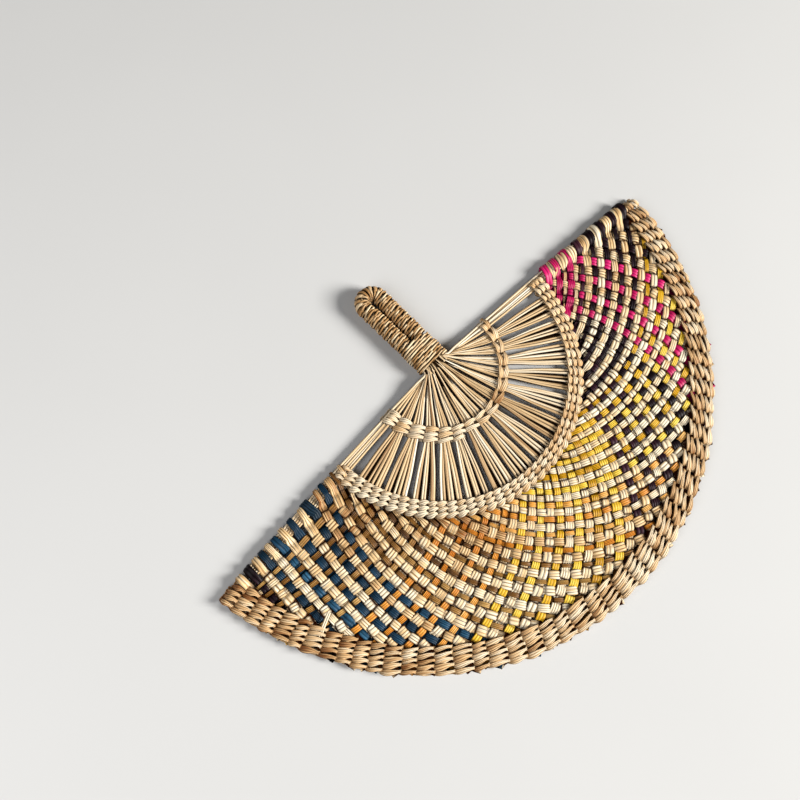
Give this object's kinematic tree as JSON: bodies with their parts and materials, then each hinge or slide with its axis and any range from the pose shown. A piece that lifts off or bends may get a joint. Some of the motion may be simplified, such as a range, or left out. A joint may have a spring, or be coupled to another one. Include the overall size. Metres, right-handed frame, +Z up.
{
  "type": "woven straw hand fan",
  "caption": "Half-moon hand fan of straw spokes bound by twined rows, with a plaited field of dyed strips and a cord-wound handle loop.",
  "frame": {"origin": "under the middle of the fan's box, on the surface it lies on", "axes": "+X along the fan's width to its right corner, +Y from the rim to the handle, +Z up off the surface, through the leaf"},
  "size_m": [0.3682, 0.2424, 0.012],
  "materials": {
    "straw": "dry natural straw, satin, fine lengthwise fibres",
    "row_cord": "twined flat straw, satin",
    "winding_cord": "twisted straw cord, dull",
    "woven_strip": "plaited natural and dyed strips, satin",
    "magenta_strip": "dyed strip, satin",
    "blue_strip": "dyed strip, satin"
  },
  "bodies": {
    "root": {"handle_core": "straw", "handle_winding_left": "winding_cord", "handle_winding_right": "winding_cord", "collar_winding": "winding_cord", "spoke_1": "straw", "spoke_2": "straw", "spoke_3": "straw", "spoke_4": "straw", "spoke_5": "straw", "spoke_6": "straw", "spoke_7": "straw", "spoke_8": "straw", "spoke_9": "straw", "spoke_10": "straw", "spoke_11": "straw", "spoke_12": "straw", "spoke_13": "straw", "spoke_14": "straw", "edge_straws_right": "straw", "edge_straws_left": "straw", "edge_folds_right": "magenta_strip", "edge_folds_left": "blue_strip", "arc_row_1_front": "row_cord", "arc_row_1_back": "row_cord", "arc_row_2_front": "row_cord", "arc_row_2_back": "row_cord", "half_arc_row_front": "row_cord", "half_arc_row_back": "row_cord", "band_row_1_front": "row_cord", "band_row_1_back": "row_cord", "band_row_2_front": "row_cord", "band_row_2_back": "row_cord", "band_row_3_front": "row_cord", "band_row_3_back": "row_cord", "rim_row_1_front": "row_cord", "rim_row_1_back": "row_cord", "rim_row_2_front": "row_cord", "rim_row_2_back": "row_cord", "rim_row_3_front": "row_cord", "rim_row_3_back": "row_cord", "rim_row_4_front": "row_cord", "rim_row_4_back": "row_cord", "rim_row_5_front": "row_cord", "rim_row_5_back": "row_cord", "woven_field": "woven_strip"}
  },
  "joints": []
}
